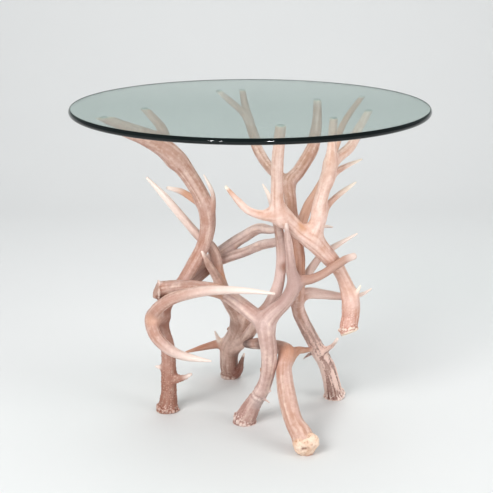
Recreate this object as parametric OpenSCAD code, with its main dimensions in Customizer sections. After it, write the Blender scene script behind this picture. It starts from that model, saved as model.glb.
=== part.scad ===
// Antler end table: eight shed antlers screwed together under a round glass top.
// Millimetres, +Z up. The origin is on the floor, under the middle of the glass.
// X runs to the viewer's right, and the viewer stands on the -Y side.

/* [Table] */
// Height of the glass top's upper face above the floor
table_h = 545; // [480:5:620]

/* [Glass top] */
// Diameter of the round glass
glass_d = 610; // [560:10:760]
// Thickness of the glass
glass_t = 10; // [8:1:15]
// How far the rounded edge bulges out of the glass's straight rim
edge_bulge = 3; // [1.5:0.5:4]

/* [Bumper pads] */
// Diameter of the clear discs between the antler tips and the glass
pad_d = 12; // [10:1:16]
// Thickness of a bumper disc
pad_t = 2; // [1:0.5:4]
// Slack between the discs and the loose glass
glass_gap = 0.1; // [0:0.05:0.3]

/* [Antlers] */
// Thickness of every beam and tine, as a share of its natural thickness
girth = 1; // [0.98:0.01:1.05]
// Depth of the grooves that run along the beams, as a share of the radius
groove = 0.05; // [0:0.01:0.08]
// How far the beads of a burr stand out of the beam
burr_out = 4; // [2:0.5:6]
// Length of a burr along its beam
burr_w = 8; // [5:1:12]
// How much of each bearing tine's height is sawn off under the glass
tip_cut = 11; // [6:1:30]

/* [Joints] */
// Gap between two antlers where one is notched over the other
joint_gap = 0.3; // [0.2:0.05:0.6]
// Diameter of a screw's shank
screw_d = 4; // [3:0.5:5]
// Diameter of a screw's countersunk head
head_d = 8; // [6:0.5:10]
// Play all round a screw in its bore
screw_play = 0.2; // [0.1:0.05:0.4]
// Depth of the putty that covers a screw head
plug_t = 3; // [2:0.5:5]
// How far short of the second antler's middle line a screw stops
screw_short = 1.5; // [0:0.5:4]

/* [Hidden] */

// Heights that follow from the table's height
glass_z = table_h - glass_t;
pad_z = glass_z - glass_gap - pad_t;
// Length of a facet along a limb
facet_l = 23;
// A screw head is a thin rim over a cone, and its bore is drilled as an eight-sided hole
head_rim = 0.4;
head_h = head_rim + (head_d - screw_d) / 2;
bore_sides = 8;

// Each limb is a list of [x, y, z, radius] points on its middle line, from its root to its tip.

// Left leg: from the foot on the left up to the high fork at the left edge of the glass
left_leg_beam = [[-152, -36, -8, 18], [-147, -34, 5, 17.4], [-144, -36, 40, 14], [-143, -38, 80, 13.3],
    [-144, -41, 120, 12.6], [-153, -44, 168, 12.3], [-145, -48, 206, 12.2], [-116, -50, 246, 12],
    [-95, -48, 281, 12], [-80, -46, 310, 11.8], [-72, -45, 341, 13.4], [-74.5, -45, 374, 13.2],
    [-83.5, -46, 400, 13.6], [-104, -50, 436, 14.6], [-124, -56, 464, 16.4], [-148, -67, 486, 15],
    [-181, -86, 506, 10.5], [-214, -100, 522, 8.4], [-256, -116, 544, 6.5]];
left_leg_high_tine = [[-125, -58, 462, 14], [-139, -54, 482, 11], [-147, -44, 504, 8.8],
    [-163, -32, 521, 7.2], [-190, -16, 545, 5.6]];
left_leg_back_tine = [[-76, -44, 382, 11], [-99, -28, 390, 7], [-118, -16, 398, 5.4], [-141, -6, 402, 3]];
left_leg_spur = [[-69, -46, 356, 8], [-62.5, -52, 378, 5], [-62, -55, 400, 4], [-68, -57, 418, 3.2],
    [-77, -58, 436, 1.4]];
left_leg_brow = [[-142, -38, 62, 10], [-129, -45, 65, 8], [-116, -54, 71, 5], [-103, -62, 81, 2.4]];
left_leg_knob = [[-146, -38, 82, 8], [-158, -42, 86, 4], [-165, -44, 88, 2]];
left_leg_fork = [[-152, -48, 182, 13], [-156, -57, 188, 13.6], [-161, -70, 192, 13.4]];
left_leg_upper_prong = [[-156, -62, 190, 13], [-162, -78, 196, 12.8], [-154, -92, 214, 11.2],
    [-127, -102, 235, 10.4], [-84, -109, 248, 9], [-42, -113, 252, 7.3], [0, -118, 252, 5.2],
    [40, -123, 249, 2]];
left_leg_lower_prong = [[-157, -62, 192, 13], [-168, -80, 187, 12.6], [-162, -95, 167, 11.4],
    [-146, -103, 150, 10.3], [-124, -106, 136, 8.4], [-95, -105, 127, 5.8], [-67, -102, 121, 1.8]];

// Centre leg: from the middle foot up to a fork behind the right antler
centre_leg_beam = [[-12, -82, -8, 20], [-9, -84, 5, 19], [5, -90, 36, 15], [18.5, -96, 60, 12.8],
    [27.5, -102, 86, 12.4], [32, -107, 116, 13.3], [31.5, -109, 145, 14.5], [28, -110, 172, 15.4],
    [28, -107, 195, 16.6], [41, -109.5, 213, 14.2], [58, -110, 230, 12.4], [70, -109, 250, 12],
    [73, -110, 268, 11], [68, -114, 288, 9.2], [66, -120, 308, 8.3], [63, -127, 334, 7],
    [60.4, -133, 354, 5], [58.6, -136.5, 372, 3]];
centre_leg_right_prong = [[76, -106, 260, 11], [88, -104, 266, 9.8], [103, -102, 268, 8.8],
    [121, -101, 276, 8.2], [142, -99, 290, 8], [159, -95, 300, 7], [173, -90, 304, 6]];
centre_leg_thorn_low = [[12, -98, 55, 9], [25, -105, 51.5, 2.8], [33, -107, 47, 1.3]];
centre_leg_thorn_high = [[18, -99, 63, 9], [30, -105, 66, 2.8], [36, -107, 68, 1.2]];

// Front leg: its natural burr faces the viewer, and its fork props the centre and back legs
front_leg_beam = [[99, -222, 9, 9], [92, -212, 13.2, 19.4], [85, -197, 28, 18.4], [73.5, -181, 43, 15.8],
    [65, -159, 66, 15.6], [59.5, -134, 90, 14.8], [58, -108, 111, 13.8], [63, -88, 128, 14.8],
    [56, -72, 133, 12.6], [38, -52, 131, 10.8], [18, -18, 121, 10.2], [0, 30, 103, 9.5],
    [-7, 62, 92, 8], [-10, 74, 90, 4]];
front_leg_right_tine = [[64, -90, 122, 12], [73, -78, 125, 10.6], [84, -62, 125, 7.4], [97, -42, 118, 5.4],
    [108, -24, 113, 3.8]];

// Right leg: the tallest antler, from the right foot up through three groups of tines
right_leg_beam = [[158, 29, -8, 18], [155, 26, 5, 17.4], [147.5, 13, 39, 15.4], [136, 2, 78, 14.8],
    [118, -12, 115, 13.6], [101.5, -28, 150, 12.6], [87, -46, 184, 12.3], [81, -66, 212, 12],
    [80, -84, 239, 12], [82, -86, 268, 10.8], [83, -77, 302, 9.8], [78, -65, 334, 9.6], [71, -51, 366, 9.8],
    [68, -36, 391, 10.6], [66, -18, 412, 12], [82, 0, 428, 11.6], [99, 20, 449, 11.6],
    [111, 37, 470, 11], [117, 55, 500, 8.4], [118, 73, 545, 6.4]];
right_leg_back_tine = [[66, -22, 408, 11], [50, 4, 420, 10], [33, 30, 431, 9.8], [16, 62, 451, 9.8],
    [6, 94, 470, 9.1], [-3, 130, 492, 8.4], [-10, 163, 517, 7], [-16, 196, 545, 5.4]];
right_leg_back_prong = [[-1, 122, 488, 7.6], [-18, 140, 505, 6.4], [-43, 162, 523, 5.2], [-73, 186, 546, 4]];
right_leg_side_tine = [[79, -66, 332, 9], [88, -52, 352, 8.8], [98, -34, 375, 8.6], [115, -14, 398, 8],
    [130, 8, 421, 7], [144, 34, 451, 6.4], [168, 72, 498, 5.6], [210, 114, 545, 4]];
right_leg_cross_tine = [[83, -78, 250, 9.4], [97, -65, 263, 8], [109, -57, 279, 7.4], [123, -51, 295, 6.8],
    [145, -47, 309, 5.2], [182, -49, 332, 1.6]];
right_leg_low_tine = [[82, -70, 224, 11.4], [100, -59, 229, 10.6], [124, -50, 224, 8.8],
    [150, -44.5, 219, 7.2], [174, -41, 216, 5.4], [194, -44, 222, 3.6], [209, -48, 233, 1.5]];
right_leg_brow = [[124, -8, 98, 9], [138, -23, 113, 5.6], [147, -40, 128, 4], [152, -53, 143, 2.6]];
right_leg_knob = [[118, -10, 108, 8], [108, 6, 92, 4.6], [97, 17, 78, 2]];

// Back leg: from the foot behind, leaning forward to pass behind the left leg
back_leg_beam = [[-36, 127, -8, 17.6], [-36.5, 126, 5, 17.2], [-39.5, 119, 36, 17.6], [-36, 105, 72, 17.4],
    [-24, 81, 111, 15.5], [-24, 54, 150, 13.8], [-38, 26, 188, 12.7], [-50, 4, 218, 12.2],
    [-56, -12, 252, 11.2], [-60, -22, 284, 10.2], [-67, -27, 303, 9.2], [-78, -27.5, 313, 8.4],
    [-90, -27, 324, 7.8], [-117, -28, 357, 7.3], [-145, -32, 393, 6.2], [-174, -36, 426, 2.4]];
back_leg_palm = [[-24, 92, 86, 13], [-12, 62, 124, 12.4], [-8, 40, 150, 11.4]];
back_leg_inner_tine = [[-48, 12, 208, 10], [-51, -14, 228, 8.6], [-60, -33, 253, 8], [-71, -48, 277, 6.2],
    [-81, -61, 303, 2.4]];
back_leg_front_prong = [[-30, 101, 70, 14], [-13, 68, 94, 11.4], [3, 16, 133, 10], [13, -34, 170, 8.8],
    [15, -71.5, 191, 6.2]];
back_leg_side_tine = [[-33, 106, 70, 12], [-55, 110, 73, 9.3], [-85, 116, 64, 6.4], [-121, 122, 51, 2]];
back_leg_kicker = [[-51, 109, 72, 6], [-60, 104, 87, 3.8], [-65, 100, 101, 1.5]];
back_leg_brow = [[-28, 113, 12, 11], [-19, 103, 24, 7.2], [-15.5, 100, 40, 5], [-10.5, 98, 57, 2]];

// Right high antler: its burr hangs free at the right, and its tines carry the front of the glass
right_high_beam = [[171, -71, 160, 14.6], [169.5, -68, 166, 15.6], [171, -64, 177, 15.4], [173, -60, 190, 14.8],
    [172, -60, 217, 14], [164, -64, 245, 12.6], [153, -70, 270, 11.8], [140, -77, 290, 13.6],
    [121, -88, 314, 15.4], [101, -98, 336, 16], [81, -107, 352, 13.6], [64, -115, 370, 14],
    [46, -123, 385, 13.6], [19, -130, 386, 8.2], [-4, -134, 395, 6.6], [-21, -134, 412, 5.6],
    [-39, -128, 432, 2.8]];
right_high_middle_tine = [[50, -120, 380, 13], [44, -130, 410, 11], [43, -143, 446, 10.4],
    [43, -157, 482, 10.1], [45, -171, 510, 9.5], [48, -186, 545, 8.2]];
right_high_back_tine = [[104, -96, 344, 15], [112, -100, 368, 12.8], [114, -104, 395, 11.2],
    [120, -106, 422, 10.6], [127, -108, 450, 10.8], [131, -110, 476, 9.8], [132, -112, 504, 7.8],
    [134, -114, 545, 6.4]];
right_high_outer_tine = [[130, -108, 466, 9.6], [148, -95, 478, 8.6], [164, -79, 488, 8.4],
    [182, -58, 512, 7], [205, -36, 545, 5.2]];
right_high_low_kicker = [[116, -103, 380, 9], [129, -93, 394, 6], [144, -80, 405, 5.1], [160, -68, 414, 4.3],
    [177, -56, 423, 1.7]];
right_high_top_kicker = [[126, -107, 438, 9], [141, -92, 449, 6], [161, -74, 456, 4.4], [186, -54, 462, 1.6]];
right_high_brow = [[174, -62, 204, 9], [180.5, -67, 226, 4.6], [188, -71, 246, 1.8]];

// Left cross antler: its beam lies over the left leg, turns behind the centre leg and climbs
left_cross_beam = [[-161.5, -78, 241, 13], [-155.5, -77, 239.5, 16], [-143, -76, 242, 14.2], [-117, -73, 244, 13.2],
    [-86, -75, 243, 12.5], [-58, -75, 239, 12.2], [-31, -77, 227, 12.2], [-5, -81, 207, 12.2],
    [14, -84, 197, 12.4], [31, -82, 211, 11.4], [45, -78, 240, 10.6], [52, -77, 275, 9.7],
    [53, -78, 308, 9.3], [49, -88, 342, 8], [40, -105.5, 381, 6.4], [33, -99, 406, 4.6], [21, -88, 427, 1.5]];

// Rear cross antler: it lies behind the left leg and forks into two prongs to the right
rear_cross_beam = [[-135, -28, 220, 12], [-130, -27, 222, 14.4], [-121, -23, 227, 14], [-111, -17, 233, 15],
    [-97, -6, 242, 15], [-80, 4, 254, 14.2], [-64, 10, 268, 13.2], [-46, 7, 270, 9], [-28, 0, 279, 8.8],
    [-8, -11, 289, 8.9], [20, -38, 309, 8.7], [47, -66, 323, 7.8], [70, -48, 333, 6.8], [96, -42, 340, 5.4],
    [122, -44, 344, 3.6], [140, -46, 343, 1.6]];
rear_cross_upper_prong = [[-67, 10, 266, 12], [-49, 14, 284, 10.8], [-12, 2, 311.5, 10.6], [14, -18, 332, 9.4],
    [34, -38, 336, 7.6], [46, -42, 335, 5], [58, -40, 326, 2.2]];

// Limbs of each antler
left_leg = [left_leg_beam, left_leg_high_tine, left_leg_back_tine, left_leg_spur, left_leg_brow,
    left_leg_knob, left_leg_fork, left_leg_upper_prong, left_leg_lower_prong];
centre_leg = [centre_leg_beam, centre_leg_right_prong, centre_leg_thorn_low, centre_leg_thorn_high];
front_leg = [front_leg_beam, front_leg_right_tine];
right_leg = [right_leg_beam, right_leg_back_tine, right_leg_back_prong, right_leg_side_tine,
    right_leg_cross_tine, right_leg_low_tine, right_leg_brow, right_leg_knob];
back_leg = [back_leg_beam, back_leg_palm, back_leg_inner_tine, back_leg_front_prong, back_leg_side_tine,
    back_leg_kicker, back_leg_brow];
right_high = [right_high_beam, right_high_middle_tine, right_high_back_tine, right_high_outer_tine,
    right_high_low_kicker, right_high_top_kicker, right_high_brow];
left_cross = [left_cross_beam];
rear_cross = [rear_cross_beam, rear_cross_upper_prong];

// Limbs whose flat cut tips carry the glass
bearing_limbs = [left_leg_beam, left_leg_high_tine, right_high_middle_tine, right_high_back_tine,
    right_high_outer_tine, right_leg_beam, right_leg_side_tine, right_leg_back_tine, right_leg_back_prong];
// Height at which the bearing tines are sawn off in the points above, before the fit to this table
chosen_h = min([for (points = bearing_limbs) points[len(points) - 1][2]]) - tip_cut;

// Screwed joints: the antler under the head, the antler that takes the point, where the middle line
// of each is at their crossing, and the limb that the head is sunk in
joints = [
    ["left_leg", "left_cross", [-117, -50, 243], [-117, -73, 244], left_leg_beam],
    ["left_cross", "centre_leg", [15, -84, 198], [27, -109, 196], left_cross_beam],
    ["centre_leg", "front_leg", [31, -106, 107], [57, -109, 110], centre_leg_beam],
    ["right_high", "centre_leg", [140, -77, 290], [142, -99, 290], right_high_beam],
    ["right_leg", "centre_leg", [81, -85.5, 254], [75, -107, 255], right_leg_beam],
    ["right_leg", "right_high", [158, -43, 218], [172, -60, 218], right_leg_low_tine],
    ["back_leg", "left_leg", [-78, -27, 312], [-80, -46, 311], back_leg_beam],
    ["rear_cross", "left_leg", [-117, -21, 230], [-129, -49, 230], rear_cross_beam],
    ["rear_cross", "left_cross", [47, -66, 323], [52, -82, 321], rear_cross_beam],
    ["left_cross", "right_high", [39, -105, 382], [47, -123, 386], left_cross_beam],
    ["back_leg", "front_leg", [-29, 86, 103], [-8, 68, 91], back_leg_beam]
];

// Small sums that the shapes share
function unit(v) = v / norm(v);
function xyz(row) = [row[0], row[1], row[2]];
// A chosen point at this table's height and thickness
function fitted(row) = [row[0], row[1], row[2] * pad_z / chosen_h, row[3] * girth];
// Point at t from 0 to 1 between b and c, on a smooth curve through a, b, c and d
function between(a, b, c, d, t) = 0.5 * (2 * b + (c - a) * t + (2 * a - 5 * b + 4 * c - d) * t * t
    + (3 * b - a - 3 * c + d) * t * t * t);
function facets(a, b) = max(1, round(norm(xyz(b) - xyz(a)) / facet_l));
// Smooth middle line of a limb
function line_of(rows) = [
    for (i = [0 : len(rows) - 2])
        let (n = facets(rows[i], rows[i + 1]))
            for (k = [0 : n - 1])
                between(rows[max(i - 1, 0)], rows[i], rows[i + 1], rows[min(i + 2, len(rows) - 1)], k / n),
    rows[len(rows) - 1]
];
function heading(line, i) = unit(xyz(line[min(i + 1, len(line) - 1)]) - xyz(line[max(i - 1, 0)]));
// A side direction square to t, turned as little as can be from n
function squared(n, t) = unit(n - (n * t) * t);
function sides_along(ways, i, n) = i == len(ways) ? []
    : let (s = squared(n, ways[i])) concat([s], sides_along(ways, i + 1, s));
function sides_of(r) = r > 11 ? 10 : r > 7 ? 8 : 6;
function fluted(r, k) = r * (1 - groove * (k % 2));

// One beam or tine: a tube through its points, with grooves and a rounded tip, grown by extra
module limb(points, extra = 0) {
    rows = line_of([for (p = points) fitted(p)]);
    ways = [for (i = [0 : len(rows) - 1]) heading(rows, i)];
    sides = sides_along(ways, 0, abs(ways[0].z) > 0.8 ? [1, 0, 0] : [0, 0, 1]);
    n = sides_of(points[0][3]);
    last = len(rows) - 1;
    tip = xyz(rows[last]) + ways[last] * (rows[last][3] * 0.6 + extra);
    rings = [for (i = [0 : last]) for (k = [0 : n - 1])
        let (across = cross(ways[i], sides[i]), r = fluted(rows[i][3], k) + extra, a = 360 * k / n)
            xyz(rows[i]) + r * (cos(a) * sides[i] + sin(a) * across)];
    skin = [for (i = [0 : last - 1]) for (k = [0 : n - 1])
        let (k2 = (k + 1) % n, a = i * n + k, b = i * n + k2)
            each [[a, a + n, b + n], [a, b + n, b]]];
    root_cap = [[for (k = [0 : n - 1]) k]];
    tip_cap = [for (k = [0 : n - 1]) [last * n + k, (last + 1) * n, last * n + (k + 1) % n]];
    polyhedron(concat(rings, [tip]), concat(skin, root_cap, tip_cap), convexity = 6);
}

// A crown of beads round the second point of a beam, square to the way from its first point
module burr(points, beads = 9, share = 1) {
    place = fitted(points[1]);
    way = xyz(place) - xyz(fitted(points[0]));
    translate(xyz(place))
        rotate([0, acos(way.z / norm(way)), atan2(way.y, way.x)])
            for (i = [0 : beads - 1])
                let (out = share * burr_out * (i % 3 == 1 ? 0.8 : 1), wide = PI * place[3] / beads)
                    rotate([0, 0, 360 * i / beads + 8 * (i % 2)])
                        hull() {
                            translate([place[3] + out / 2, 0, -burr_w * 0.1])
                                cube([out, wide, burr_w * 0.5], center = true);
                            translate([place[3] - 2, 0, 0]) cube([1, 2.2 * wide, burr_w], center = true);
                        }
}

// Puts its children at a, with their Z axis toward b
module aim(a, b) {
    way = b - a;
    translate(a) rotate([0, acos(way.z / norm(way)), atan2(way.y, way.x)]) children();
}

// Where a joint's two middle lines lie in this table
function under_head(j) = xyz(fitted([j[2].x, j[2].y, j[2].z, 0]));
function at_point(j) = xyz(fitted([j[3].x, j[3].y, j[3].z, 0]));
// Depth of a screw's bore from the first antler's skin to its middle line: the limb's radius nearest to it
function head_depth(j) = let (gaps = [for (p = j[4]) norm(xyz(p) - j[2])])
    girth * [for (i = [0 : len(gaps) - 1]) if (gaps[i] == min(gaps)) j[4][i][3]][0];
// Length of a screw, from its head under the putty to near the second middle line
function screw_l(j) = norm(at_point(j) - under_head(j)) + head_depth(j) - plug_t - screw_short;
// Width over corners of a bore that clears a round piece of diameter d
function bore_d(d) = (d + 2 * screw_play) / cos(180 / bore_sides);

// Everything that a joint's screw and putty need cut away from its two antlers
module joint_cut(j) {
    outside = 3 * plug_t;
    aim(under_head(j), at_point(j)) {
        translate([0, 0, -head_depth(j)])
            cylinder(d = bore_d(screw_d), h = plug_t + screw_l(j) + screw_short, $fn = bore_sides);
        translate([0, 0, -head_depth(j) - outside])
            cylinder(d = bore_d(head_d), h = outside + plug_t + head_h + screw_short, $fn = bore_sides);
    }
}

// An antler: its limbs, standing on the floor and cut level under the glass, less its notches and bores
module antler(name, limbs, notches = []) {
    intersection() {
        translate([-glass_d, -glass_d, 0]) cube([2 * glass_d, 2 * glass_d, pad_z]);
        difference() {
            union() {
                for (points = limbs) limb(points);
                children();
            }
            for (points = notches) limb(points, joint_gap);
            for (j = joints) if (j[0] == name || j[1] == name) joint_cut(j);
        }
    }
}

module left_leg_antler() {
    color("tan") antler("left_leg", left_leg) burr(left_leg_beam);
}

module centre_leg_antler() {
    color("burlywood")
        antler("centre_leg", centre_leg, [left_cross_beam, right_leg_beam])
            burr(centre_leg_beam);
}

module front_leg_antler() {
    color("wheat")
        antler("front_leg", front_leg, [centre_leg_beam])
            burr(front_leg_beam, share = 0.6);
}

module right_leg_antler() {
    color("tan")
        antler("right_leg", right_leg, [front_leg_right_tine])
            burr(right_leg_beam);
}

module back_leg_antler() {
    color("peru")
        antler("back_leg", back_leg, [front_leg_beam, left_leg_beam, left_cross_beam])
            burr(back_leg_beam, share = 0.7);
}

module right_high_antler() {
    color("wheat")
        antler("right_high", right_high, [centre_leg_right_prong, right_leg_low_tine, left_cross_beam])
            burr(right_high_beam, share = 0.7);
}

module left_cross_antler() {
    color("burlywood")
        antler("left_cross", left_cross, [left_leg_beam, left_leg_upper_prong])
        burr(left_cross_beam, 8);
}

module rear_cross_antler() {
    color("tan")
        antler("rear_cross", rear_cross, [left_leg_beam, left_cross_beam, right_leg_beam])
            burr(rear_cross_beam, 8);
}

// Where a bearing limb's middle line reaches the flat cut under the glass
function seat_of(points) = let (
        rows = line_of([for (p = points) fitted(p)]),
        over = [for (i = [1 : len(rows) - 1]) if (rows[i][2] >= pad_z && rows[i - 1][2] < pad_z) i][0],
        a = rows[over - 1], b = rows[over], t = (pad_z - a[2]) / (b[2] - a[2])
    ) xyz(a + (b - a) * t);

// Clear discs on the cut tips, that keep the glass from sliding
module bumper_pads() {
    color("white", 0.6)
        for (points = bearing_limbs)
            translate(seat_of(points)) cylinder(d = pad_d, h = pad_t);
}

// A countersunk wood screw, head down at the origin and point up
module screw(l) {
    point_l = screw_d;
    point_r = screw_d / 12;
    rotate_extrude()
        polygon([[0, 0], [head_d / 2, 0], [head_d / 2, head_rim], [screw_d / 2, head_h],
            [screw_d / 2, l - point_l], [point_r, l], [0, l]]);
}

// One screw through each joint, its head sunk in the back of the first antler
module joint_screws() {
    color("dimgray")
        for (j = joints)
            aim(under_head(j), at_point(j)) translate([0, 0, plug_t - head_depth(j)]) screw(screw_l(j));
}

// A flush disc of tinted putty over each screw head
module joint_plugs() {
    color("sienna")
        for (j = joints)
            aim(under_head(j), at_point(j))
                translate([0, 0, -head_depth(j)])
                    cylinder(d = head_d, h = plug_t);
}

// Round clear glass with a rounded edge, loose on the discs
module glass_top() {
    rim_r = glass_d / 2 - edge_bulge;
    arc_r = (edge_bulge * edge_bulge + glass_t * glass_t / 4) / (2 * edge_bulge);
    color("lightcyan", 0.5)
        translate([0, 0, glass_z])
            rotate_extrude($fn = 180)
                intersection() {
                    square([glass_d, glass_t]);
                    union() {
                        square([rim_r, glass_t]);
                        translate([glass_d / 2 - arc_r, glass_t / 2]) circle(r = arc_r, $fn = 120);
                    }
                }
}

left_leg_antler();
centre_leg_antler();
front_leg_antler();
right_leg_antler();
back_leg_antler();
right_high_antler();
left_cross_antler();
rear_cross_antler();
bumper_pads();
joint_screws();
joint_plugs();
glass_top();
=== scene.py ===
# %% [markdown]
# # An end table made of shed antlers
#
# Eight shed antlers are notched over each other and screwed together, and the sawn tips of nine tines carry a
# loose round of clear glass. This file dresses the measured model of that table: it keeps every piece at its
# place and gives each one its real surface. Lengths are millimetres until a mesh is made, which is in metres.

# %% The fixed frame
import math

import bpy
import numpy as np
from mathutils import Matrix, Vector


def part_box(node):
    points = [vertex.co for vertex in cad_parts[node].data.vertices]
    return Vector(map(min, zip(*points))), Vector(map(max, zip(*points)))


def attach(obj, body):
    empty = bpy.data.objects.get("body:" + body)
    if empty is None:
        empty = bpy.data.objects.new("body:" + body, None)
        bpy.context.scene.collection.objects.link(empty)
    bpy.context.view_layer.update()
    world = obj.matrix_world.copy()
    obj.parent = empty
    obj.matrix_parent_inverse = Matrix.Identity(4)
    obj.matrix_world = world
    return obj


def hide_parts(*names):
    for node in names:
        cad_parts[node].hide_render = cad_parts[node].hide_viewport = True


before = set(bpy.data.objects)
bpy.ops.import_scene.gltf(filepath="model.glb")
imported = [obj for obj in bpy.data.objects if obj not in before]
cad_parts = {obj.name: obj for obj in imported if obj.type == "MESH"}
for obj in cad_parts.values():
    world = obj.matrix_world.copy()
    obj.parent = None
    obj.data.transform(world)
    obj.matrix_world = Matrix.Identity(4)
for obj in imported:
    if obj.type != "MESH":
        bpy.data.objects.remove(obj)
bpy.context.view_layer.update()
MM = 0.001
glass_low, glass_high = (np.array(corner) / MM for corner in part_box("glass_top"))
pads_low, pads_high = (np.array(corner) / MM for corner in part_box("bumper_pads"))
TABLE_H = glass_high[2]
TIPS_Z = pads_low[2]
print(f"table {TABLE_H:.1f} mm high, tips cut at {TIPS_Z:.1f}")

# %% [markdown]
# ## The camera
#
# The photograph was taken from about two metres away, a little above the glass, with a lens about two and a
# half times as long as the sensor is wide. The rim of the glass is a circle, so its ellipse gives the tilt.

# %% Camera
CAMERA_PLACE = (-0.006, -2.025, 0.877)
CAMERA_TILT = math.radians(16.03)
scene = bpy.context.scene
camera_data = bpy.data.cameras.new("camera")
camera_data.sensor_width = 36.0
camera_data.lens = 88.0
camera = bpy.data.objects.new("camera", camera_data)
camera.location = CAMERA_PLACE
camera.rotation_euler = (math.pi / 2 - CAMERA_TILT, 0, 0)
scene.collection.objects.link(camera)
scene.camera = camera

# %% [markdown]
# ## A small language for shader maths
#
# A node tree is easier to read as sums than as wires. A `Wire` wraps one output of a node, and the operators
# on it add the Math nodes that the sum needs. `Tree` makes every other kind of node with one method.


# %% Shader maths
class Wire:
    """One value in a shader. Sums of wires and numbers become Math nodes."""

    def __init__(self, tree, socket):
        self.tree = tree
        self.socket = socket

    def __add__(self, other):
        return self.tree.math("ADD", self, other)

    def __sub__(self, other):
        return self.tree.math("SUBTRACT", self, other)

    def __rsub__(self, other):
        return self.tree.math("SUBTRACT", other, self)

    def __mul__(self, other):
        return self.tree.math("MULTIPLY", self, other)

    def clamped(self):
        return self.tree.math("ADD", self, 0.0, use_clamp=True)

    __radd__ = __add__


class Tree:
    """A material's node tree, with one method that adds a node, sets it and wires it."""

    def __init__(self, name):
        self.material = bpy.data.materials.new(name)
        self.material.use_nodes = True
        self.nodes = self.material.node_tree.nodes
        self.links = self.material.node_tree.links
        self.nodes.clear()
        self.out = self.nodes.new("ShaderNodeOutputMaterial")

    def feed(self, socket, value):
        if isinstance(value, Wire):
            self.links.new(value.socket, socket)
        else:
            socket.default_value = value

    def node(self, kind, settings=None, *values, out=0, **named):
        made = self.nodes.new(kind)
        for key, value in (settings or {}).items():
            setattr(made, key, value)
        for number, value in enumerate(values):
            self.feed(made.inputs[number], value)
        for key, value in named.items():
            self.feed(made.inputs[key.replace("_", " ")], value)
        return Wire(self, made.outputs[out])

    def math(self, operation, *values, **settings):
        return self.node("ShaderNodeMath", {"operation": operation, **settings}, *values)

    def attribute(self, name):
        return self.node("ShaderNodeAttribute", {"attribute_name": name}, out="Fac")

    def place(self):
        return self.node("ShaderNodeTexCoord", out="Object")

    def noise(self, scale, detail=2.0, roughness=0.5):
        return self.node("ShaderNodeTexNoise", None, Vector=self.place(), Scale=scale, Detail=detail,
                         Roughness=roughness)

    def mix(self, share, first, second):
        """Colour first, going over to second as share goes from 0 to 1. The node clamps the share itself."""
        mixed = self.nodes.new("ShaderNodeMix")
        mixed.data_type = "RGBA"
        mixed.clamp_factor = True
        for number, value in ((0, share), (6, first), (7, second)):
            self.feed(mixed.inputs[number], value)
        return Wire(self, mixed.outputs[2])

    def surface(self, shader):
        self.feed(self.out.inputs["Surface"], shader)
        return self.material

    def principled(self, **named):
        """The material with one Principled shader as its surface."""
        return self.surface(self.node("ShaderNodeBsdfPrincipled", None, **named))


def tone(red, green, blue):
    """A colour as it looks on a screen, 0 to 255 each, turned to the linear light that shaders use."""
    shares = np.array([red, green, blue]) / 255
    linear = np.where(shares <= 0.04045, shares / 12.92, ((shares + 0.055) / 1.055) ** 2.4)
    return (*(float(value) for value in linear), 1.0)


# %% [markdown]
# ## The room
#
# A photographer's sweep is a pale sheet that runs along the floor and curves up behind. A dark card, hung
# where the glass would mirror the bright sheet, keeps a glass top clear. Here the upper sheet is the card,
# and only mirror rays see it dark. Three big panels and an even sky give a soft, plain light, and three small
# lamps give the rim of the glass its glints.


# %% Sweep and lights
def add_object(name, mesh, material=None):
    made = bpy.data.objects.new(name, mesh)
    scene.collection.objects.link(made)
    if material:
        mesh.materials.append(material)
    return made


SWEEP_WIDE = 7.0
SWEEP_FRONT = -4.5
SWEEP_BACK = 2.6
SWEEP_BEND = 1.2
SWEEP_HIGH = 4.0
bend = np.linspace(0, math.pi / 2, 24)
profile_y = np.concatenate([[SWEEP_FRONT], SWEEP_BACK - SWEEP_BEND + SWEEP_BEND * np.sin(bend), [SWEEP_BACK]])
profile_z = np.concatenate([[0], SWEEP_BEND - SWEEP_BEND * np.cos(bend), [SWEEP_HIGH]])
sides_x = (-SWEEP_WIDE / 2, SWEEP_WIDE / 2)
sweep_points = [(x, y, z) for y, z in zip(profile_y, profile_z) for x in sides_x]
sweep_faces = [(k, k + 1, k + 3, k + 2) for k in range(0, len(sweep_points) - 2, 2)]
sweep_mesh = bpy.data.meshes.new("sweep")
sweep_mesh.from_pydata(sweep_points, [], sweep_faces)
sweep_mesh.shade_smooth()
paper = Tree("sweep_paper")
paper_up = paper.node("ShaderNodeSeparateXYZ", None, paper.place(), out=2)
mirror_ray = paper.node("ShaderNodeLightPath", out="Is Glossy Ray")
paper_pale = paper.mix(paper.noise(3.0) * 0.3, tone(224, 225, 224), tone(218, 220, 220))
paper_colour = paper.mix((paper_up * 3.0 - 1.9).clamped() * mirror_ray, paper_pale, tone(152, 163, 160))
paper_finish = paper.principled(Base_Color=paper_colour, Roughness=0.9)
sweep = add_object("sweep", sweep_mesh, paper_finish)


def panel(name, place, aim, size, power, glint=False):
    """A square lamp at place that faces aim. A glint lights nothing and only shows in polished surfaces."""
    data = bpy.data.lights.new(name, "AREA")
    data.size = size
    data.energy = power
    lamp = bpy.data.objects.new(name, data)
    lamp.location = place
    direction = np.array(aim) - np.array(place)
    level = math.hypot(direction[0], direction[1])
    lean, turn = math.atan2(level, -direction[2]), math.atan2(direction[1], direction[0])
    lamp.rotation_euler = (lean, 0, turn - math.pi / 2)
    lamp.visible_diffuse = not glint
    lamp.visible_glossy = glint
    lamp.visible_transmission = glint
    scene.collection.objects.link(lamp)


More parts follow.
